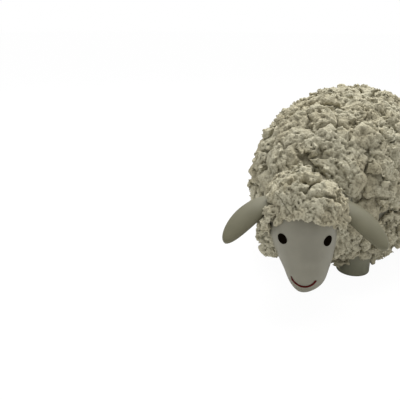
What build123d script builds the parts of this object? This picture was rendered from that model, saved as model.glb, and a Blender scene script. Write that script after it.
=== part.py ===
from build123d import *
from math import cos, pi, radians, sin, sqrt
import os

# Ceramic sheep, standing. It faces -Y with its head turned to its own left (+X), and +Z is up.
# The origin is on the ground, under the middle of the whole animal. Lengths are in millimetres.

# Body: two hollow pots, joined mouth to mouth across the waist
body_half_length = 103.0
body_radius = 72.0
body_end = 3.0
body_y = 29.5
body_height = 65.5
belly_height = 16.0
body_wall = 6.0
vent_radius = 5.0
vent_behind = 18.0

# Fleece: crumbled clay pressed on in pads, with a furrow between one pad and the next
fleece_depth = 11.5
relief_depth = 5.0
relief_reach = 23.0
furrow = 0.4
skirt_height = 12.5
cap_reach = 60.0
pad_crest = 45.0

# Feet: short stubs, hollow so that they dry and fire
foot_radius = 13.6
foot_edge = 1.6
foot_top = 30.0
foot_x = 33.6
front_foot_ahead = 59.5
rear_foot_behind = 55.5
foot_bore_radius = 7.0
foot_floor = 6.0

# Head: a hollow wedge, turned about the point where it meets the body
head_turn = 28.1
neck_x, neck_ahead = 1.34, 106.27
chin_height = 17.2
head_height = 68.4
head_depth = 59.2
head_half_width = 24.3
head_wall = 4.5
head_tip, head_tip_long = 1.5, 1.8
neck_height = 60.0
neck_radius = 22.0
neck_bore_radius = 12.0

# Ears: solid drooping leaves, placed from the middle of the head's back
ear_root_out, ear_root_ahead, ear_root_height = 19.2, 22.4, 78.4
ear_bend_out, ear_bend_ahead, ear_bend_height = 40.0, 24.0, 68.8
ear_tip_out, ear_tip_ahead, ear_tip_height = 55.0, 48.7, 53.4
ear_width = 22.4
ear_thickness = 7.6
ear_roll = -13.0

# Eyes and mouth: thin glaze on the face
glaze = 0.3
glaze_reach = 6.0
eye_out, eye_ahead, eye_height = 15.7, 49.4, 58.8
eye_length, eye_breadth = 8.2, 7.0
eye_facing = 52.0
eye_lean = 25.0
mouth_half_width = 8.6
mouth_height = 32.0
mouth_drop = 5.6
mouth_line = 1.5
mouth_ahead = 53.0

# Head fleece: a hood over the skull, with a fringe above the face that slants down to the cheeks
hood_radius, hood_half_height = 32.5, 35.0
hood_ahead, hood_height = 29.0, 66.0
fringe_ahead, fringe_height, fringe_slope = 58.4, 74.5, 34.0
crown_turn = 50.0

# Nape fleece: fills the groove between the head and the body
nape_radius, nape_half_height = 28.5, 30.0
nape_x, nape_ahead, nape_height = 6.0, 9.0, 69.0

# Tail: a short tapered stub
tail_length = 24.0
tail_radius = 7.0
tail_height = 94.0

# Each row of the head's outline is a level, its front and back, its half width, and how far it leans left
head_section_shares = [
    (0.000, 0.238, 0.238, 0.000, 0.040),
    (0.029, 0.128, 0.340, 0.240, 0.070),
    (0.076, 0.074, 0.404, 0.390, 0.105),
    (0.135, 0.038, 0.485, 0.523, 0.130),
    (0.199, 0.017, 0.572, 0.608, 0.130),
    (0.287, 0.022, 0.703, 0.720, 0.110),
    (0.404, 0.038, 0.852, 0.859, 0.070),
    (0.520, 0.055, 0.939, 0.974, 0.025),
    (0.637, 0.064, 0.982, 1.000, 0.000),
    (0.778, 0.094, 0.979, 0.977, 0.000),
    (0.895, 0.174, 0.891, 0.840, 0.000),
    (0.977, 0.326, 0.705, 0.453, 0.000),
    (1.000, 0.526, 0.526, 0.000, 0.000),
]

# Each row of the ear's outline is a place along it, and its width there
ear_section_shares = [
    (0.00, 0.66),
    (0.15, 0.86),
    (0.32, 1.00),
    (0.50, 0.99),
    (0.68, 0.87),
    (0.82, 0.69),
    (0.92, 0.48),
    (0.98, 0.25),
    (1.00, 0.08),
]

# The pull of a quarter round's curve, how the fleece's lumps wander, and how near a pole its rings end
round_share = 0.5523
wander_shares = (1.1, 0.42)
pole_share = 0.995
ring_count, ring_points = 36, 60

os.makedirs("parts", exist_ok=True)
turn = radians(head_turn)
neck_y = body_y - neck_ahead
head_x_dir = (cos(turn), sin(turn), 0)
ahead_way, back_way = Vector(0, -1, 0), Vector(0, 1, 0)
left_way, up_way = Vector(1, 0, 0), Vector(0, 0, 1)
head_plane = Plane(origin=(neck_x, neck_y, 0), x_dir=head_x_dir, z_dir=(0, 0, 1))
head_middle = Plane(origin=(neck_x, neck_y, 0), x_dir=(0, 0, 1), z_dir=head_x_dir)
waist_plane = Plane(origin=(0, body_y, body_height), x_dir=(1, 0, 0), z_dir=(0, 1, 0))
feet = {
    "foot_front_left": (foot_x, body_y - front_foot_ahead),
    "foot_front_right": (-foot_x, body_y - front_foot_ahead),
    "foot_rear_left": (foot_x, body_y + rear_foot_behind),
    "foot_rear_right": (-foot_x, body_y + rear_foot_behind),
}


def save(part, name):
    part.label = name
    export_step(part, f"parts/{name}.step")


def on_head(out, ahead, height):
    """A point given from the middle of the head's back, at ground level."""
    return head_plane.from_local_coords(Vector(out, -ahead, height))


def egg(middle, way, half_length, radius, end):
    """An egg of revolution about a line through its middle; each end is a flat of radius end."""
    bend = half_length * round_share
    flat = radius * round_share
    with BuildPart() as form:
        with BuildSketch(Plane(origin=middle, x_dir=left_way, z_dir=left_way.cross(way))):
            with BuildLine():
                Line((0, half_length), (0, -half_length))
                Line((0, -half_length), (end, -half_length))
                Bezier((end, -half_length), (flat, -half_length), (radius, -bend), (radius, 0))
                Bezier((radius, 0), (radius, bend), (flat, half_length), (end, half_length))
                Line((end, half_length), (0, half_length))
            make_face()
        revolve(axis=Axis(middle, way))
    return form.part


def body_egg(inset):
    """The body's egg, its surface moved in by inset."""
    return egg((0, body_y, body_height), back_way, body_half_length - inset, body_radius - inset, body_end)


def body_pot(inset):
    """The body's egg with its flat belly."""
    with BuildPart() as pot:
        add(body_egg(inset))
        split(bisect_by=Plane.XY.offset(belly_height + inset), keep=Keep.TOP)
    return pot.part


def head_form(inset):
    """The head as level ovals from chin to scalp, its surface moved in by inset."""
    low, high = chin_height + inset, chin_height + head_height - inset
    with BuildPart() as form:
        for level, front, back, half_width, lean in head_section_shares:
            oval_width = max(head_half_width * half_width - inset, head_tip)
            oval_depth = max(head_depth * (back - front) / 2 - inset, head_tip_long)
            with BuildSketch(head_plane.offset(low + level * (high - low))):
                with Locations((head_half_width * lean, head_depth * ((front + back) / 2 - 1))):
                    Ellipse(oval_width, oval_depth)
        loft()
    return form.part


body_form = body_pot(0)
head_outside = head_form(0)
glaze_skin = head_form(-glaze)

# Neck passage: one bore through the body's front, the collar and the back of the head
neck_plane = Plane(origin=(neck_x, neck_y, neck_height), z_dir=(-sin(turn), cos(turn), 0))
with BuildPart() as neck_bore:
    with BuildSketch(neck_plane):
        Circle(neck_bore_radius)
    extrude(amount=neck_radius + body_wall, both=True)

# Body halves: the front pot carries the head and the front feet, the rear one the rear feet
for name, side in (("body_front_half", Keep.BOTTOM), ("body_rear_half", Keep.TOP)):
    with BuildPart() as half:
        add(body_form)
        add(body_pot(body_wall), mode=Mode.SUBTRACT)
        split(bisect_by=waist_plane, keep=side)
        with BuildSketch(Plane.XY):
            with Locations((0, body_y + vent_behind)):
                Circle(vent_radius)
            with Locations(*feet.values()):
                Circle(foot_bore_radius)
        extrude(amount=body_height, mode=Mode.SUBTRACT)
        if side == Keep.BOTTOM:
            add(neck_bore.part, mode=Mode.SUBTRACT)
    save(half.part, name)

# Feet: each stub's top is hollowed to the body and opens into it
foot_parts = []
for name, (foot_at_x, foot_at_y) in feet.items():
    with BuildPart() as foot:
        with BuildSketch():
            with Locations((foot_at_x, foot_at_y)):
                Circle(foot_radius)
        extrude(amount=foot_top)
        fillet(foot.edges().sort_by(Axis.Z)[0], foot_edge)
        with BuildSketch(Plane.XY.offset(foot_floor)):
            with Locations((foot_at_x, foot_at_y)):
                Circle(foot_bore_radius)
        extrude(amount=foot_top, mode=Mode.SUBTRACT)
        add(body_form, mode=Mode.SUBTRACT)
    foot_parts.append(foot.part)
    save(foot.part, name)

# Neck collar: a ring of clay between the body's front and the back of the head
with BuildPart() as neck_collar:
    with BuildSketch(neck_plane):
        Circle(neck_radius)
    extrude(amount=neck_radius, both=True)
    add(neck_bore.part, mode=Mode.SUBTRACT)
    add(body_form, mode=Mode.SUBTRACT)
    add(head_outside, mode=Mode.SUBTRACT)
save(neck_collar.part, "neck_collar")

# Head shell: the hollow wedge, open to the neck
with BuildPart() as head_shell:
    add(head_outside)
    add(head_form(head_wall), mode=Mode.SUBTRACT)
    add(neck_bore.part, mode=Mode.SUBTRACT)
    add(body_form, mode=Mode.SUBTRACT)
save(head_shell.part, "head_shell")

# Ears: ovals along a bent spine, from the skull to a round tip
with BuildLine() as ear_line:
    spine = Bezier(
        on_head(ear_root_out, ear_root_ahead, ear_root_height),
        on_head(ear_bend_out, ear_bend_ahead, ear_bend_height),
        on_head(ear_tip_out, ear_tip_ahead, ear_tip_height),
    )
ear_ovals = []
for along, width in ear_section_shares:
    way = spine % along
    chord = way.cross(Vector(0, 0, 1)).rotate(Axis((0, 0, 0), way), ear_roll)
    with BuildSketch(Plane(origin=spine @ along, x_dir=chord, z_dir=way)) as oval:
        Ellipse(ear_width * width / 2, ear_thickness * sqrt(width) / 2)
    ear_ovals.append(oval.sketch.face())
with BuildPart() as ear_left:
    loft(sections=ear_ovals)
    add(head_outside, mode=Mode.SUBTRACT)
with BuildPart() as ear_right:
    mirror(ear_left.part, about=head_middle)
    add(head_outside, mode=Mode.SUBTRACT)
ear_parts = [ear_left.part, ear_right.part]
save(ear_left.part, "ear_left")
save(ear_right.part, "ear_right")

# Eyes: ovals of dark glaze, as thick as the skin between the face and its glazed surface
eye_turn = turn + radians(eye_facing)
eye_out_dir = (sin(eye_turn), -cos(eye_turn), 0)
eye_up_dir = Vector(0, 0, 1).rotate(Axis((0, 0, 0), eye_out_dir), eye_lean)
eye_plane = Plane(on_head(eye_out, eye_ahead, eye_height), x_dir=eye_up_dir, z_dir=eye_out_dir)
with BuildPart() as eye_rod:
    with BuildSketch(eye_plane):
        Ellipse(eye_breadth / 2, eye_length / 2)
    extrude(amount=glaze_reach, both=True)
for name, rod in (("eye_left", eye_rod.part), ("eye_right", mirror(eye_rod.part, about=head_middle))):
    with BuildPart() as eye:
        add(rod)
        add(glaze_skin, mode=Mode.INTERSECT)
        add(head_outside, mode=Mode.SUBTRACT)
    save(eye.part, name)

# Mouth: a thin curved line round the front of the muzzle
face_plane = Plane(on_head(0, mouth_ahead, mouth_height), x_dir=head_x_dir, z_dir=(sin(turn), -cos(turn), 0))
with BuildPart() as mouth:
    with BuildSketch(face_plane):
        with BuildLine():
            ThreePointArc((-mouth_half_width, 0), (0, -mouth_drop), (mouth_half_width, 0))
        trace(line_width=mouth_line)
    extrude(amount=head_depth)
    add(glaze_skin, mode=Mode.INTERSECT)
    add(head_outside, mode=Mode.SUBTRACT)
save(mouth.part, "mouth_line")

# Tail: a short stub that hangs from the rump
with BuildPart() as tail:
    tail_root = Vector(0, body_y + body_half_length, tail_height)
    with BuildLine():
        tail_line = Line(tail_root, tail_root + Vector(0, tail_radius, -tail_length))
    with Locations(tail_line @ 0, tail_line @ 1):
        Sphere(tail_radius)
    with BuildSketch(Plane(tail_line @ 0, z_dir=tail_line % 0)):
        Circle(tail_radius)
    extrude(amount=tail_line.length)
    add(body_form, mode=Mode.SUBTRACT)
save(tail.part, "tail")


def boxes_meet(one, other):
    spans = zip(one.min, one.max, other.min, other.max)
    return all(low < other_high and other_low < high for low, high, other_low, other_high in spans)


def relief(x, y, z):
    """The fleece's lumps at a place, from -1 in a hollow to 1 on a crest."""
    step = relief_reach / pi
    sway, rate = wander_shares

    def wave(along, across):
        return sin(along / step + sway * sin(across / step * rate + along / relief_reach))

    return (wave(x, y) * wave(y, z) + wave(z, x) * wave(y - step, x)) / 2


def fleece_ring(share):
    """One level of the body's fleece: how far along its middle line it is, and the points round it."""
    radius = (body_radius + fleece_depth) * sqrt(1 - share**2)
    along = (body_half_length + fleece_depth) * share
    points = []
    for i in range(ring_points):
        angle = 2 * pi * i / ring_points
        lift = relief_depth * (relief(radius * cos(angle), along, radius * sin(angle)) - 1) / 2
        reach = radius + lift * sqrt(1 - share**2)
        points.append(Vector(reach * cos(angle), reach * sin(angle)))
    return along, points


def finish_pad(pad, name, inner_forms):
    """Cuts from a pad all that it lies on, and leaves out loose crumbs."""
    with BuildPart() as cut_pad:
        add(pad)
        for form in inner_forms:
            if boxes_meet(cut_pad.part.bounding_box(), form.bounding_box()):
                add(form, mode=Mode.SUBTRACT)
        add(cut_pad.solids().sort_by(SortBy.VOLUME)[-1], mode=Mode.REPLACE)
    save(cut_pad.part, name)


# Body fleece: one lumpy egg round the body, parted into a cap at each end and pads over the back and sides
fleece_rings = []
around_shares = [i / ring_points for i in range(ring_points + 1)]
for i in range(ring_count + 1):
    along, points = fleece_ring(pole_share * sin(pi * (i / ring_count - 1 / 2)))
    level_plane = Plane(origin=(0, body_y + along, body_height), x_dir=left_way, z_dir=ahead_way)
    with BuildSketch(level_plane) as fleece_level:
        with BuildLine():
            add(Edge.make_spline(points, periodic=True, parameters=around_shares))
        make_face()
    fleece_rings.append(fleece_level.sketch.face())
with BuildPart() as fleece_form:
    loft(sections=fleece_rings)
with BuildPart() as fleece_layer:
    add(fleece_form.part)
    split(bisect_by=Plane.XY.offset(skirt_height), keep=Keep.TOP)
    add(body_egg(0), mode=Mode.SUBTRACT)

hood_form = egg(on_head(0, hood_ahead, hood_height), up_way, hood_half_height, hood_radius, body_end)
bared = [head_outside, neck_collar.part, tail.part, *foot_parts, *ear_parts]
half_gap = furrow / 2
far = body_half_length + body_radius
crest = radians(pad_crest)
crest_point = (far * sin(crest), far * cos(crest))
all_round = [(-far, -far), (far, -far), (far, far), (-far, far)]
over_back = [(0, half_gap / sin(crest)), crest_point, (-crest_point[0], crest_point[1])]
left_crest = (crest_point[0] + half_gap, crest_point[1])
left_side = [(half_gap, half_gap), left_crest, (far, -far), (half_gap, -far)]
right_side = [(-x, z) for x, z in left_side]
fleece_pads = {
    "fleece_chest": (all_round, -far, -cap_reach - half_gap),
    "fleece_rump": (all_round, cap_reach + half_gap, far),
    "fleece_withers": (over_back, half_gap - cap_reach, -half_gap),
    "fleece_loin": (over_back, half_gap, cap_reach - half_gap),
    "fleece_shoulder_left": (left_side, half_gap - cap_reach, -half_gap),
    "fleece_shoulder_right": (right_side, half_gap - cap_reach, -half_gap),
    "fleece_haunch_left": (left_side, half_gap, cap_reach - half_gap),
    "fleece_haunch_right": (right_side, half_gap, cap_reach - half_gap),
}
for name, (outline, front, back) in fleece_pads.items():
    with BuildPart() as pad:
        with BuildSketch(Plane(origin=(0, body_y + back, body_height), x_dir=left_way, z_dir=ahead_way)):
            with BuildLine():
                Polyline(*outline, close=True)
            make_face()
        extrude(amount=back - front)
        add(fleece_layer.part, mode=Mode.INTERSECT)
    finish_pad(pad.part, name, [*bared, hood_form])


# Head fleece: the crown with the fringe, and a cheek on each side
hood_middle = on_head(0, hood_ahead, hood_height)
face_way = Vector(sin(turn), -cos(turn), 0)
fringe_way = up_way.rotate(Axis((0, 0, 0), Vector(head_x_dir)), -fringe_slope)
fringe_plane = Plane(origin=on_head(0, fringe_ahead, fringe_height), z_dir=fringe_way)
head_left = Vector(head_x_dir)
left_cheek_way = head_left.rotate(Axis((0, 0, 0), face_way), crown_turn - 90)
right_cheek_way = (-head_left).rotate(Axis((0, 0, 0), face_way), 90 - crown_turn)
head_pads = {
    "fleece_crown": ((-left_cheek_way, half_gap), (-right_cheek_way, half_gap)),
    "fleece_cheek_left": ((left_cheek_way, half_gap), (head_left, 0)),
    "fleece_cheek_right": ((right_cheek_way, half_gap), (-head_left, 0)),
}
for name, cuts in head_pads.items():
    with BuildPart() as pad:
        add(hood_form)
        split(bisect_by=fringe_plane, keep=Keep.TOP)
        for way, step in cuts:
            split(bisect_by=Plane(origin=hood_middle + way * step, z_dir=way), keep=Keep.TOP)
    finish_pad(pad.part, name, [body_egg(0), *bared])

# Nape fleece: between the head's fleece and the body's
nape_form = egg((nape_x, neck_y - nape_ahead, nape_height), up_way, nape_half_height, nape_radius, body_end)
finish_pad(nape_form, "fleece_nape", [fleece_form.part, hood_form, *bared])
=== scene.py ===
"""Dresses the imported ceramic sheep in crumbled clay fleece, smooth clay and glaze."""

import math

import bpy
from bpy.props import FloatProperty, FloatVectorProperty, PointerProperty
from mathutils import Matrix, Vector


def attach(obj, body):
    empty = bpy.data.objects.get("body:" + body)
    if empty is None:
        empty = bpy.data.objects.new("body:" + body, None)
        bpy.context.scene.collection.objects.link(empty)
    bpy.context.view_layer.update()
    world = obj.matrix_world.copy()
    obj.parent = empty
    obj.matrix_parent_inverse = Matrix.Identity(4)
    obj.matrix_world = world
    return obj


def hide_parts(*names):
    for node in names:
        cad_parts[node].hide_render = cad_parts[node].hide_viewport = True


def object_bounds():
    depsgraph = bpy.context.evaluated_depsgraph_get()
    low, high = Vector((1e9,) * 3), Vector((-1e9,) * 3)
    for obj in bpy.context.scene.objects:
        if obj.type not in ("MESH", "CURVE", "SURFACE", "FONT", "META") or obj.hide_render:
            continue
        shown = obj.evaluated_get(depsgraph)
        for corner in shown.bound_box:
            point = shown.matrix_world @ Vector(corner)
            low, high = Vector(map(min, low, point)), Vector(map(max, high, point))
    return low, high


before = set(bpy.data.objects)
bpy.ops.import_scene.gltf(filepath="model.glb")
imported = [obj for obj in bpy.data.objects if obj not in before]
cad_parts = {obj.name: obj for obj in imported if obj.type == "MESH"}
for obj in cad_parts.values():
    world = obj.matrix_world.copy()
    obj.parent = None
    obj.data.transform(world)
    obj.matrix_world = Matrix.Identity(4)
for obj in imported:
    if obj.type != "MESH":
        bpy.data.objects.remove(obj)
cad_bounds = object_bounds()

bl_info = {
    "name": "Ceramic sheep",
    "version": (1, 0, 0),
    "blender": (4, 5, 0),
    "location": "3D View > Sidebar > Sheep",
    "description": "Dresses a ceramic sheep with crumbled clay fleece, smooth clay and glaze",
    "category": "Object",
}

MM = 0.001

# Body, in millimetres: the egg that the fleece's crests reach, and the clay egg that the pads sit in
BODY_MIDDLE = Vector((0.0, 29.5, 65.5))
BODY_RADII = Vector((83.5, 114.5, 83.5))
BODY_SAG = 0.93
CORE_RADII = Vector((72.0, 103.0, 72.0))
SEAT_DEPTH = 1.0
SKIRT_HEIGHT = 10.0

# The body's main lumps: their depth, their width, and how they wander
RELIEF_DEPTH, RELIEF_REACH = 5.0, 23.0
WANDER_SHARES = (1.1, 0.42)

# How the body's fleece is parted: caps at its ends, pads over its back and sides, and their wandering edges
CAPS = ("fleece_chest", "fleece_rump")
CAP_REACH = 60.0
PAD_CREST = math.radians(45.0)
EDGE_WANDER, EDGE_REACH = 12.0, 12.0

# Head, in millimetres: its back's middle at ground level, and its turn to its own left
HEAD_ROOT = Vector((1.34, -76.77, 0.0))
HEAD_TURN = math.radians(28.1)
HOOD_MIDDLE = (0.0, 29.0, 66.0)
HOOD_RADII = Vector((32.5, 32.5, 35.0))
CHEEK_OUT, CHEEK_AHEAD, CHEEK_HEIGHT = 21.5, 27.0, 50.0
CHEEK_RADII = Vector((11.5, 11.5, 18.0))
FRINGE_POINT = (0.0, 58.4, 74.5)
FRINGE_SLOPE = math.radians(34.0)
CROWN_TURN = math.radians(50.0)
NAPE_MIDDLE = Vector((6.0, -85.77, 69.0))
NAPE_RADII = Vector((28.5, 28.5, 30.0))
EAR_ROOT, EAR_TIP = (19.2, 22.4, 78.4), (55.0, 48.7, 53.4)
EAR_ROLL = math.radians(13.0)

# How softly the cheeks run into the hood, the hood into the body, and both into the nape
CHEEK_BLEND, HOOD_BLEND, NAPE_BLEND = 5.0, 14.0, 8.0

# Crumbling: where each kind of hollow starts and ends, as shares of a cell, and where cracks are
CLUMP_SLOPE, CRACK_SLOPE = (0.25, 0.95), (0.0, 0.14)
LUMP_SLOPE, CRUMB_SLOPE = (0.1, 0.9), (0.1, 0.75)
CRACKED_REACH, CRACKED_SLOPE = 30.0, (0.38, 0.56)

# How far and how strongly clumps and lumps are warped, as shares of their own width
CLUMP_WARP, LUMP_WARP = (0.6, 1.0), (0.7, 1.3)

# Fleece mesh: spare room round a pad, the points that a piece needs to stay, and the box that holds it all
PAD_SPARE = 9.0
LEAST_POINTS = 4000.0
BOX_LOW, BOX_HIGH = [[value / MM for value in corner] for corner in cad_bounds]

# Finishes: from the painted shade of the hollows to the crests' own colour by pointiness, and how the
# patches, flecks and clouds of colour fade
CREST_SLOPE = (0.40, 0.53)
PATCH_SLOPE, CLOUD_SLOPE = (0.35, 0.65), (0.3, 0.7)
FLECK_SLOPE, FLECK_STRENGTH = (0.56, 0.30), 0.5
CLOUD_SHADE = 0.86
SMOOTH_ANGLE = math.radians(35.0)

# Stage, in metres
WHITE = (1.0, 1.0, 1.0, 1.0)
FLOOR_COLOUR = (0.9, 0.9, 0.9, 1.0)
FLOOR_WIDTH, FLOOR_HEIGHT = 20.0, -0.0005
FLOOR_GLOW, FLOOR_GLOW_SHARE = 1.02, 0.94
LAMP_PLACE, LAMP_AIM = (-0.1, 0.3, 0.85), Vector((0.0, 0.0, 0.07))
LAMP_WIDTH = 0.9
CAMERA_PLACE = (0.1431, -0.4213, 0.1995)
CAMERA_WAY = Vector((-0.5325, 0.7778, -0.3338))
CAMERA_LENS, CAMERA_SENSOR = 45.0, 36.0
CAMERA_NEAREST = 0.01

# How Blender shows the settings, and the numbers of the Mix node's colour sockets
LENGTH = {"subtype": "DISTANCE", "unit": "LENGTH", "precision": 5}
SHARE = {"subtype": "FACTOR", "min": 0.0, "max": 1.0}
COLOUR = {"subtype": "COLOR", "min": 0.0, "max": 1.0}
MIX_ONE, MIX_OTHER, MIX_RESULT = 6, 7, 2


def on_head(out, ahead, height):
    """A point in millimetres, given from the middle of the head's back at ground level."""
    return HEAD_ROOT + Matrix.Rotation(HEAD_TURN, 3, "Z") @ Vector((out, -ahead, height))


def rgb(red, green, blue):
    """A colour of the screen, each part from 0 to 255, as Blender's linear one."""
    shares = [value / 255.0 for value in (red, green, blue)]
    return tuple(share / 12.92 if share <= 0.04045 else ((share + 0.055) / 1.055) ** 2.4 for share in shares)


def opaque(colour):
    return (*colour, 1.0)


class Sock:
    """A node socket that works like a number, a colour or a vector."""

    def __init__(self, nodes, socket):
        self.nodes, self.socket = nodes, socket

    def maths(self, operation, *others):
        return self.nodes.maths(operation, self, *others)

    def __add__(self, other):
        return self.maths("ADD", other)

    __radd__ = __add__

    def __mul__(self, other):
        return self.maths("MULTIPLY", other)

    __rmul__ = __mul__

    def __sub__(self, other):
        return self.maths("SUBTRACT", other)

    def __rsub__(self, other):
        return self.nodes.maths("SUBTRACT", other, self)

    def __truediv__(self, other):
        return self.maths("DIVIDE", other)

    def __neg__(self):
        return self * -1.0

    def root(self):
        return self.maths("POWER", 0.5)

    def least(self, other):
        return self.maths("MINIMUM", other)

    def most(self, other):
        return self.maths("MAXIMUM", other)

    def sine(self):
        return self.maths("SINE")

    def size(self):
        return self.maths("ABSOLUTE")

    def ramp(self, low, high, start=0.0, end=1.0):
        """Smoothly from start, where this is low, to end, where it is high."""
        inputs = {"Value": self, "From Min": low, "From Max": high, "To Min": start, "To Max": end}
        return self.nodes.add("ShaderNodeMapRange", {"interpolation_type": "SMOOTHSTEP"}, inputs)["Result"]


class Outputs:
    """The outputs of a new node, by name or number."""

    def __init__(self, nodes, node):
        self.nodes, self.node = nodes, node

    def __getitem__(self, key):
        return Sock(self.nodes, self.node.outputs[key])


class Nodes:
    """Adds nodes to a tree, with their settings first and then their inputs."""

    def __init__(self, tree):
        self.tree = tree

    def add(self, kind, settings=None, inputs=None):
        node = self.tree.nodes.new(kind)
        for name, value in (settings or {}).items():
            setattr(node, name, value)
        for key, value in (inputs or {}).items():
            if isinstance(value, Sock):
                self.tree.links.new(value.socket, node.inputs[key])
            else:
                node.inputs[key].default_value = value
        return Outputs(self, node)

    def maths(self, operation, *values):
        return self.add("ShaderNodeMath", {"operation": operation}, dict(enumerate(values)))["Value"]

    def vector_maths(self, operation, *values):
        found = self.add("ShaderNodeVectorMath", {"operation": operation}, dict(enumerate(values)))
        return found["Value" if operation in ("DOT_PRODUCT", "LENGTH") else "Vector"]

    def scaled(self, vector, factor):
        inputs = {"Vector": vector, "Scale": factor}
        return self.add("ShaderNodeVectorMath", {"operation": "SCALE"}, inputs)["Vector"]

    def parts(self, vector):
        found = self.add("ShaderNodeSeparateXYZ", {}, {"Vector": vector})
        return found["X"], found["Y"], found["Z"]

    def mix(self, share, one, other):
        inputs = {"Factor": share, MIX_ONE: one, MIX_OTHER: other}
        return self.add("ShaderNodeMix", {"data_type": "RGBA"}, inputs)[MIX_RESULT]

    def noise(self, place, scale, detail, roughness=0.5):
        inputs = {"Vector": place, "Scale": scale, "Detail": detail, "Roughness": roughness}
        return self.add("ShaderNodeTexNoise", {}, inputs)

    def bump(self, grain, strength, height):
        inputs = {"Strength": strength, "Distance": height, "Height": grain}
        return self.add("ShaderNodeBump", {}, inputs)["Normal"]


def deselect():
    if bpy.context.object and bpy.context.object.mode != "OBJECT":
        bpy.ops.object.mode_set(mode="OBJECT")
    bpy.ops.object.select_all(action="DESELECT")


def pick(obj):
    """Makes one object the only one selected, and the active one."""
    deselect()
    obj.hide_set(False)
    obj.select_set(True)
    bpy.context.view_layer.objects.active = obj
    return obj


def new_material(name):
    material = bpy.data.materials.new(name)
    material.use_nodes = True
    material.node_tree.nodes.clear()
    return material, Nodes(material.node_tree)


def shade(nodes, inputs):
    surface = nodes.add("ShaderNodeBsdfPrincipled", {}, inputs)["BSDF"]
    nodes.add("ShaderNodeOutputMaterial", {}, {"Surface": surface})


def wear(obj, material):
    obj.data.materials.clear()
    obj.data.materials.append(material)


def finish_piece(obj, name, node):
    """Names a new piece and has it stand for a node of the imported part."""
    obj.name = obj.data.name = name
    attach(obj, "root")
    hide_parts(node)


def egg_depth(nodes, place, middle, radii, sag=1.0):
    """How deep a place is in an egg, in millimetres; a sag under 1 lets its lower half hang lower."""
    local = nodes.vector_maths("SUBTRACT", place, middle)
    if sag != 1.0:
        x, y, z = nodes.parts(local)
        local = nodes.add("ShaderNodeCombineXYZ", {}, {"X": x, "Y": y, "Z": z.most(z * sag)})["Vector"]
    level = nodes.vector_maths("LENGTH", nodes.vector_maths("DIVIDE", local, radii))
    squares = [radius * radius for radius in radii]
    steepness = nodes.vector_maths("LENGTH", nodes.vector_maths("DIVIDE", local, squares)).most(0.001)
    return level * (1.0 - level) / steepness


def plane_depth(nodes, place, point, way):
    """How far a place is past a plane, along its way, in millimetres."""
    return nodes.vector_maths("DOT_PRODUCT", nodes.vector_maths("SUBTRACT", place, point), way)


def body_depth(nodes, place):
    """How deep a place is under the body's main lumps."""
    x, y, z = nodes.parts(nodes.vector_maths("SUBTRACT", place, BODY_MIDDLE))
    level = y / BODY_RADII.y
    share = (1.0 - level * level).most(0.0).root()
    out = share * BODY_RADII.x / (x * x + z * z).root().most(1.0)
    step = RELIEF_REACH / math.pi
    sway, rate = WANDER_SHARES

    def wave(along, across):
        return (along / step + (across / step * rate + along / RELIEF_REACH).sine() * sway).sine()

    x, z = x * out, z * out
    lumps = (wave(x, y) * wave(y, z) + wave(z, x) * wave(y - step, x)) * 0.5
    sink = (lumps - 1.0) * share * (RELIEF_DEPTH / 2)
    return egg_depth(nodes, place, BODY_MIDDLE, BODY_RADII, BODY_SAG) + sink


def warp(nodes, place, reach, amount):
    """A smooth noise to add to a place, so that what is made from it isn't regular."""
    noise = nodes.noise(place, 1.0 / reach, detail=1.0)["Color"]
    return nodes.scaled(nodes.vector_maths("SUBTRACT", noise, (0.5, 0.5, 0.5)), amount)


def warped(nodes, place, width, shares):
    reach, amount = shares
    return nodes.vector_maths("ADD", place, warp(nodes, place, width * reach, width * amount))


def cells(nodes, place, width, feature="F1"):
    """How far a place is from the nearest cell's middle, or from its edge, as a share of its width."""
    inputs = {"Vector": place, "Scale": 1.0 / width}
    return nodes.add("ShaderNodeTexVoronoi", {"feature": feature}, inputs)["Distance"]


def crumb_loss(nodes, place, sizes):
    """How far the crumbled surface lies under the crests, in millimetres."""
    broad = warped(nodes, place, sizes["clump_size"], CLUMP_WARP)
    fine = warped(nodes, place, sizes["lump_size"], LUMP_WARP)
    clumps = cells(nodes, broad, sizes["clump_size"]).ramp(*CLUMP_SLOPE)
    cracks = cells(nodes, broad, sizes["clump_size"], "DISTANCE_TO_EDGE").ramp(*CRACK_SLOPE, 1.0, 0.0)
    cracked = nodes.noise(place, 1.0 / CRACKED_REACH, detail=0.0)["Fac"].ramp(*CRACKED_SLOPE)
    lumps = cells(nodes, fine, sizes["lump_size"]).ramp(*LUMP_SLOPE)
    crumbs = cells(nodes, fine, sizes["crumb_size"]).ramp(*CRUMB_SLOPE)
    return (
        clumps * sizes["clump_depth"]
        + cracks * cracked * sizes["crack_depth"]
        + lumps * sizes["lump_depth"]
        + crumbs * sizes["crumb_depth"]
    )


def least_of(first, *others):
    for other in others:
        first = first.least(other)
    return first


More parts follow.
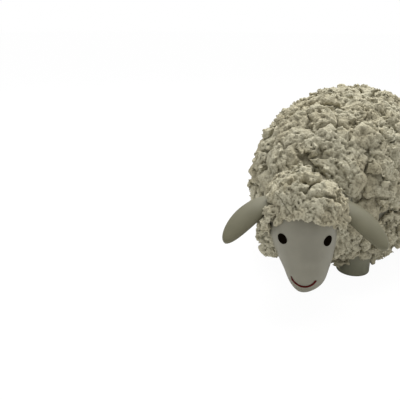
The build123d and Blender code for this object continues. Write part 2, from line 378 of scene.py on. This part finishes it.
def fleece_regions(nodes, place):
    """How deep a place is in the whole fleece, and in each pad's own region, by the pad's name."""
    middle = on_head(*HOOD_MIDDLE)
    turn = Matrix.Rotation(HEAD_TURN, 3, "Z")
    head_left = turn @ Vector((1, 0, 0))
    fringe_way = turn @ Vector((0, math.sin(FRINGE_SLOPE), math.cos(FRINGE_SLOPE)))
    fringe = plane_depth(nodes, place, on_head(*FRINGE_POINT), fringe_way)
    hood = egg_depth(nodes, place, middle, HOOD_RADII).least(fringe)
    for side in (1, -1):
        cheek_middle = on_head(side * CHEEK_OUT, CHEEK_AHEAD, CHEEK_HEIGHT)
        cheek = egg_depth(nodes, place, cheek_middle, CHEEK_RADII)
        hood = nodes.maths("SMOOTH_MAX", hood, cheek, CHEEK_BLEND)
    nape = egg_depth(nodes, place, NAPE_MIDDLE, NAPE_RADII)
    body = body_depth(nodes, place)
    skin = nodes.maths("SMOOTH_MAX", nodes.maths("SMOOTH_MAX", body, hood, HOOD_BLEND), nape, NAPE_BLEND)
    x, y, z = nodes.parts(nodes.vector_maths("SUBTRACT", place, BODY_MIDDLE))
    one, two, three = nodes.parts(warp(nodes, place, EDGE_REACH, EDGE_WANDER))
    hood_edge, body_edge = hood + one, body - one
    in_hood = (hood_edge - body_edge.most(nape)) * 0.5
    in_body = (body_edge - hood_edge.most(nape)) * 0.5
    in_nape = (nape - hood_edge.most(body_edge)) * 0.5
    ahead = two - y - CAP_REACH
    behind = three + y - CAP_REACH
    front = one - y
    top = z * math.sin(PAD_CREST) - x.size() * math.cos(PAD_CREST) + two
    left = x + three
    head_side = plane_depth(nodes, place, middle, head_left)
    low_way = Vector((0, 0, -math.cos(CROWN_TURN)))
    left_cheek = plane_depth(nodes, place, middle, head_left * math.sin(CROWN_TURN) + low_way) + two
    right_cheek = plane_depth(nodes, place, middle, -head_left * math.sin(CROWN_TURN) + low_way) + three
    between_caps = least_of(in_body, -ahead, -behind)
    return skin, {
        "fleece_chest": in_body.least(ahead),
        "fleece_rump": in_body.least(behind),
        "fleece_withers": least_of(between_caps, front, top),
        "fleece_loin": least_of(between_caps, -front, top),
        "fleece_shoulder_left": least_of(between_caps, front, -top, left),
        "fleece_shoulder_right": least_of(between_caps, front, -top, -left),
        "fleece_haunch_left": least_of(between_caps, -front, -top, left),
        "fleece_haunch_right": least_of(between_caps, -front, -top, -left),
        "fleece_nape": in_nape,
        "fleece_crown": least_of(in_hood, -left_cheek, -right_cheek),
        "fleece_cheek_left": least_of(in_hood, left_cheek, head_side),
        "fleece_cheek_right": least_of(in_hood, right_cheek, -head_side),
    }


def pad_group(name, low, high, sizes):
    """Geometry nodes that fill a box, in millimetres, with one pad of crumbled clay."""
    tree = bpy.data.node_groups.new(name, "GeometryNodeTree")
    for way in ("INPUT", "OUTPUT"):
        tree.interface.new_socket("Geometry", in_out=way, socket_type="NodeSocketGeometry")
    nodes = Nodes(tree)
    place = nodes.scaled(nodes.add("GeometryNodeInputPosition")["Position"], 1.0 / MM)
    skin, regions = fleece_regions(nodes, place)
    core = egg_depth(nodes, place, BODY_MIDDLE, CORE_RADII)
    height = nodes.parts(place)[2] - SKIRT_HEIGHT
    rise = sizes["rise"]
    clay = skin.least(height + rise) + rise - crumb_loss(nodes, place, sizes)
    depth = least_of(clay, regions[name], SEAT_DEPTH - core)
    face_width = sizes["cap_fineness" if name in CAPS else "fineness"]
    box = {"Density": depth, "Background": -1.0, "Min": Vector(low) * MM, "Max": Vector(high) * MM}
    for axis, bottom, top in zip("XYZ", low, high):
        box["Resolution " + axis] = math.ceil((top - bottom) / face_width)
    volume = nodes.add("GeometryNodeVolumeCube", {}, box)["Volume"]
    inputs = {"Volume": volume, "Threshold": 0.0, "Adaptivity": 0.0}
    shape = nodes.add("GeometryNodeVolumeToMesh", {"resolution_mode": "GRID"}, inputs)["Mesh"]
    island = nodes.add("GeometryNodeInputMeshIsland")["Island Index"]
    points = nodes.add("GeometryNodeAccumulateField", {}, {"Value": 1.0, "Group ID": island})["Total"]
    loose = {"Geometry": shape, "Selection": points.maths("LESS_THAN", LEAST_POINTS)}
    shape = nodes.add("GeometryNodeDeleteGeometry", {}, loose)["Geometry"]
    shape = nodes.add("GeometryNodeSetShadeSmooth", {}, {"Geometry": shape})["Geometry"]
    nodes.add("NodeGroupOutput", {}, {"Geometry": shape})
    return tree


class FleeceSettings(bpy.types.PropertyGroup):
    """Sizes of the fleece's clumps, lumps and crumbs"""

    clump_size: FloatProperty(
        name="Clump size", description="Width of a pressed clump", default=0.019, min=0.004, **LENGTH
    )
    clump_depth: FloatProperty(
        name="Clump depth", description="How far clumps stand up", default=0.004, min=0.0, **LENGTH
    )
    crack_depth: FloatProperty(
        name="Crack depth", description="Depth of cracks between clumps", default=0.006, min=0.0, **LENGTH
    )
    lump_size: FloatProperty(
        name="Lump size", description="Width of a lump in a clump", default=0.0054, min=0.001, **LENGTH
    )
    lump_depth: FloatProperty(
        name="Lump depth", description="Depth between lumps", default=0.0028, min=0.0, **LENGTH
    )
    crumb_size: FloatProperty(
        name="Crumb size", description="Width of a crumb", default=0.0025, min=0.0005, **LENGTH
    )
    crumb_depth: FloatProperty(
        name="Crumb depth", description="Depth between crumbs", default=0.0022, min=0.0, **LENGTH
    )
    rise: FloatProperty(
        name="Rise", description="How far crests stand above the egg", default=0.003, min=0.0, **LENGTH
    )
    fineness: FloatProperty(
        name="Fineness", description="Width of the fleece mesh's faces", default=0.0009, min=0.0003, **LENGTH
    )
    cap_fineness: FloatProperty(
        name="Cap fineness",
        description="Width of the mesh's faces on chest and rump",
        default=0.00104,
        min=0.0003,
        **LENGTH,
    )


class EarSettings(bpy.types.PropertyGroup):
    """How the ears are turned and narrowed"""

    turn: FloatProperty(
        name="Turn",
        description="How far each ear turns its broad side to the front",
        default=math.radians(28.0),
        subtype="ANGLE",
    )
    width: FloatProperty(
        name="Width", description="Share of its width that an ear keeps", default=0.86, **SHARE
    )


class ColourSettings(bpy.types.PropertyGroup):
    """Colours of the clay and the glaze, and the painted shade in the fleece's hollows"""

    fleece: FloatVectorProperty(
        name="Fleece", description="Crests of the fleece", default=rgb(181, 176, 154), **COLOUR
    )
    fleece_patch: FloatVectorProperty(
        name="Fleece patches", description="Duller patches of crests", default=rgb(168, 161, 137), **COLOUR
    )
    # Painted shade: the fleece's hollows are given this darker colour, which stands in for the shade that
    # falls in them
    hollow: FloatVectorProperty(
        name="Hollows", description="Hollows of the fleece", default=rgb(97, 92, 73), **COLOUR
    )
    # Painted shade of the hollows, duller in random patches
    hollow_patch: FloatVectorProperty(
        name="Hollow patches", description="Duller patches in the hollows", default=rgb(83, 77, 58), **COLOUR
    )
    face: FloatVectorProperty(
        name="Face", description="Smooth clay of the face", default=rgb(127, 124, 110), **COLOUR
    )
    foot: FloatVectorProperty(
        name="Feet", description="Smooth clay of the feet", default=rgb(116, 115, 97), **COLOUR
    )
    ear: FloatVectorProperty(
        name="Ears", description="Smooth clay of the ears", default=rgb(100, 97, 77), **COLOUR
    )
    eye: FloatVectorProperty(name="Eyes", description="Glaze of the eyes", default=rgb(12, 8, 4), **COLOUR)
    mouth: FloatVectorProperty(
        name="Mouth", description="Glaze of the mouth line", default=rgb(70, 13, 9), **COLOUR
    )


class StageSettings(bpy.types.PropertyGroup):
    """Strengths of the lights"""

    lamp_power: FloatProperty(
        name="Overhead light", description="Power of the lamp above", default=13.4, min=0.0, unit="POWER"
    )
    room_light: FloatProperty(
        name="Room light", description="Strength of the light all round", default=0.64, **SHARE
    )


def fleece_sizes(settings):
    """The fleece's settings in millimetres, by name, rounded because Blender stores few digits."""
    return {name: round(getattr(settings, name) / MM, 4) for name in FleeceSettings.__annotations__}


def fleece_clay(colours):
    material, nodes = new_material("Crumbled clay")
    place = nodes.add("ShaderNodeTexCoord")["Object"]
    # Painted shade: pointiness picks out the hollows, which take the painted shade colour; random flecks mix
    # in that same painted shade colour
    crest = nodes.add("ShaderNodeNewGeometry")["Pointiness"].ramp(*CREST_SLOPE)
    patches = nodes.noise(place, scale=45.0, detail=3.0)["Fac"].ramp(*PATCH_SLOPE)
    pale = nodes.mix(patches, opaque(colours.fleece), opaque(colours.fleece_patch))
    painted_shade = nodes.mix(patches, opaque(colours.hollow), opaque(colours.hollow_patch))
    flecks = nodes.noise(place, scale=620.0, detail=2.0, roughness=0.7)["Fac"].ramp(*FLECK_SLOPE)
    colour = nodes.mix(flecks * FLECK_STRENGTH, nodes.mix(crest, painted_shade, pale), painted_shade)
    grain = nodes.noise(place, scale=700.0, detail=3.0, roughness=0.6)["Fac"]
    normal = nodes.bump(grain, strength=1.0, height=0.0011)
    shade(nodes, {"Base Color": colour, "Roughness": 0.95, "Specular IOR Level": 0.2, "Normal": normal})
    return material


def plain_clay(name, colour, roughness, gloss=0.3):
    """Smooth clay or glaze, faintly clouded and grained."""
    material, nodes = new_material(name)
    place = nodes.add("ShaderNodeTexCoord")["Object"]
    cloud = nodes.noise(place, scale=60.0, detail=4.0)["Fac"].ramp(*CLOUD_SLOPE)
    mixed = nodes.mix(cloud, opaque(part * CLOUD_SHADE for part in colour), opaque(colour))
    grain = nodes.noise(place, scale=1500.0, detail=2.0)["Fac"]
    normal = nodes.bump(grain, strength=0.12, height=0.0002)
    inputs = {"Base Color": mixed, "Roughness": roughness, "Specular IOR Level": gloss, "Normal": normal}
    shade(nodes, inputs)
    return material


class SHEEP_OT_fleece(bpy.types.Operator):
    """Build the crumbled clay fleece over body, nape and head, pad by pad"""

    bl_idname = "sheep.fleece"
    bl_label = "Fleece"

    def execute(self, context):
        sizes = fleece_sizes(context.scene.sheep_fleece)
        clay = fleece_clay(context.scene.sheep_colours)
        for name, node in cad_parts.items():
            if not name.startswith("fleece"):
                continue
            corners = [node.matrix_world @ Vector(corner) / MM for corner in node.bound_box]
            low = [max(min(c[i] for c in corners) - PAD_SPARE, end) for i, end in enumerate(BOX_LOW)]
            high = [min(max(c[i] for c in corners) + PAD_SPARE, end) for i, end in enumerate(BOX_HIGH)]
            deselect()
            bpy.ops.mesh.primitive_cube_add(size=MM)
            pad = pick(context.object)
            modifier = pad.modifiers.new("Crumble", "NODES")
            modifier.node_group = pad_group(name, low, high, sizes)
            bpy.ops.object.modifier_apply(modifier=modifier.name)
            wear(pad, clay)
            finish_piece(pad, name.replace("fleece", "wool"), name)
        return {"FINISHED"}


class SHEEP_OT_smooth_clay(bpy.types.Operator):
    """Finish the face, feet, tail and clay body"""

    bl_idname = "sheep.smooth_clay"
    bl_label = "Smooth clay"

    def execute(self, context):
        colours = context.scene.sheep_colours
        face = plain_clay("Face clay", colours.face, roughness=0.5)
        foot = plain_clay("Foot clay", colours.foot, roughness=0.55)
        for name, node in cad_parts.items():
            if name.startswith(("head", "body", "neck", "tail")):
                wear(node, face)
            elif name.startswith("foot"):
                wear(node, foot)
        return {"FINISHED"}


def copy_node(name):
    """A piece of its own with the shape of a node."""
    pick(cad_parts[name])
    bpy.ops.object.duplicate()
    bpy.ops.object.mode_set(mode="EDIT")
    bpy.ops.mesh.select_all(action="SELECT")
    bpy.ops.mesh.remove_doubles(threshold=1e-6)
    bpy.ops.object.mode_set(mode="OBJECT")
    bpy.ops.object.shade_smooth_by_angle(angle=SMOOTH_ANGLE)
    piece = pick(bpy.context.object)
    bpy.ops.object.transform_apply(location=True, rotation=True, scale=True)
    return piece


class SHEEP_OT_ears(bpy.types.Operator):
    """Turn the ears' broad sides to the front"""

    bl_idname = "sheep.ears"
    bl_label = "Ears"

    def execute(self, context):
        settings = context.scene.sheep_ears
        clay = plain_clay("Ear clay", context.scene.sheep_colours.ear, roughness=0.55)
        for name, side in (("ear_left", 1), ("ear_right", -1)):
            root, tip = (on_head(side * out, ahead, height) for out, ahead, height in (EAR_ROOT, EAR_TIP))
            way = (tip - root).normalized()
            across = way.cross(Vector((0, 0, 1))).normalized()
            across.rotate(Matrix.Rotation(side * (settings.turn - EAR_ROLL), 3, way))
            place = Matrix.Translation(root * MM)
            narrowed = Matrix.Scale(settings.width, 4, across)
            ear = copy_node(name)
            turned = Matrix.Rotation(side * settings.turn, 4, way)
            ear.data.transform(place @ narrowed @ turned @ place.inverted())
            wear(ear, clay)
            finish_piece(ear, name.replace("ear", "clay_ear"), name)
        return {"FINISHED"}


class SHEEP_OT_glaze(bpy.types.Operator):
    """Finish the glazed eyes and the mouth line"""

    bl_idname = "sheep.glaze"
    bl_label = "Glaze"

    def execute(self, context):
        colours = context.scene.sheep_colours
        eye = plain_clay("Eye glaze", colours.eye, roughness=0.5, gloss=0.0)
        mouth = plain_clay("Mouth glaze", colours.mouth, roughness=0.5, gloss=0.05)
        for name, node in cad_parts.items():
            if name.startswith("eye"):
                wear(node, eye)
            elif name == "mouth_line":
                wear(node, mouth)
        return {"FINISHED"}


def add_floor():
    """A pale floor that the camera sees as white, and that keeps the sheep's shadow."""
    bpy.ops.mesh.primitive_plane_add(size=FLOOR_WIDTH, location=(0, 0, FLOOR_HEIGHT))
    floor = bpy.context.object
    floor.name = "floor"
    material, nodes = new_material("Pale floor")
    lit = nodes.add("ShaderNodeBsdfDiffuse", {}, {"Color": FLOOR_COLOUR})["BSDF"]
    white = nodes.add("ShaderNodeEmission", {}, {"Color": WHITE, "Strength": FLOOR_GLOW})["Emission"]
    seen = nodes.add("ShaderNodeLightPath")["Is Camera Ray"]
    shaders = {"Fac": seen * FLOOR_GLOW_SHARE, 1: lit, 2: white}
    found = nodes.add("ShaderNodeMixShader", {}, shaders)["Shader"]
    nodes.add("ShaderNodeOutputMaterial", {}, {"Surface": found})
    wear(floor, material)


def add_lights(settings):
    """A broad lamp above, and a room whose light is white where the camera or a gloss sees it."""
    bpy.ops.object.light_add(type="AREA", location=LAMP_PLACE)
    lamp = bpy.context.object
    lamp.name = "overhead"
    lamp.data.shape, lamp.data.size, lamp.data.energy = "DISK", LAMP_WIDTH, settings.lamp_power
    lamp.rotation_euler = (LAMP_AIM - lamp.location).to_track_quat("-Z", "Y").to_euler()
    world = bpy.data.worlds.new("Room")
    bpy.context.scene.world = world
    world.use_nodes = True
    world.node_tree.nodes.clear()
    nodes = Nodes(world.node_tree)
    rays = nodes.add("ShaderNodeLightPath")
    seen = rays["Is Camera Ray"].most(rays["Is Glossy Ray"])
    strength = seen * (1.0 - settings.room_light) + settings.room_light
    glow = nodes.add("ShaderNodeBackground", {}, {"Color": WHITE, "Strength": strength})["Background"]
    nodes.add("ShaderNodeOutputWorld", {}, {"Surface": glow})


def add_camera():
    camera = bpy.data.objects.new("camera", bpy.data.cameras.new("camera"))
    bpy.context.scene.collection.objects.link(camera)
    camera.location = CAMERA_PLACE
    camera.rotation_mode = "QUATERNION"
    camera.rotation_quaternion = CAMERA_WAY.to_track_quat("-Z", "Y")
    camera.data.lens, camera.data.sensor_width = CAMERA_LENS, CAMERA_SENSOR
    camera.data.clip_start = CAMERA_NEAREST
    bpy.context.scene.camera = camera


class SHEEP_OT_stage(bpy.types.Operator):
    """Set the floor, the lights and the camera"""

    bl_idname = "sheep.stage"
    bl_label = "Stage"

    def execute(self, context):
        deselect()
        add_floor()
        add_lights(context.scene.sheep_stage)
        add_camera()
        context.scene.view_settings.view_transform = "Standard"
        return {"FINISHED"}


class SHEEP_PT_panel(bpy.types.Panel):
    """Lists the steps that dress the sheep, and their settings"""

    bl_idname = "SHEEP_PT_panel"
    bl_label = "Ceramic sheep"
    bl_space_type = "VIEW_3D"
    bl_region_type = "UI"
    bl_category = "Sheep"

    def draw(self, context):
        for operator in OPERATORS:
            self.layout.operator(operator.bl_idname)
        for group, kind in SETTINGS.items():
            for name in kind.__annotations__:
                self.layout.prop(getattr(context.scene, group), name)


SETTINGS = {
    "sheep_fleece": FleeceSettings,
    "sheep_ears": EarSettings,
    "sheep_colours": ColourSettings,
    "sheep_stage": StageSettings,
}
OPERATORS = (SHEEP_OT_fleece, SHEEP_OT_smooth_clay, SHEEP_OT_ears, SHEEP_OT_glaze, SHEEP_OT_stage)
CLASSES = (*SETTINGS.values(), *OPERATORS, SHEEP_PT_panel)


def register():
    for kind in CLASSES:
        bpy.utils.register_class(kind)
    for group, kind in SETTINGS.items():
        setattr(bpy.types.Scene, group, PointerProperty(type=kind))


def unregister():
    for group in SETTINGS:
        delattr(bpy.types.Scene, group)
    for kind in reversed(CLASSES):
        bpy.utils.unregister_class(kind)


def main():
    register()
    bpy.ops.sheep.fleece()
    bpy.ops.sheep.smooth_clay()
    bpy.ops.sheep.ears()
    bpy.ops.sheep.glaze()
    bpy.ops.sheep.stage()


if __name__ == "__main__":
    main()
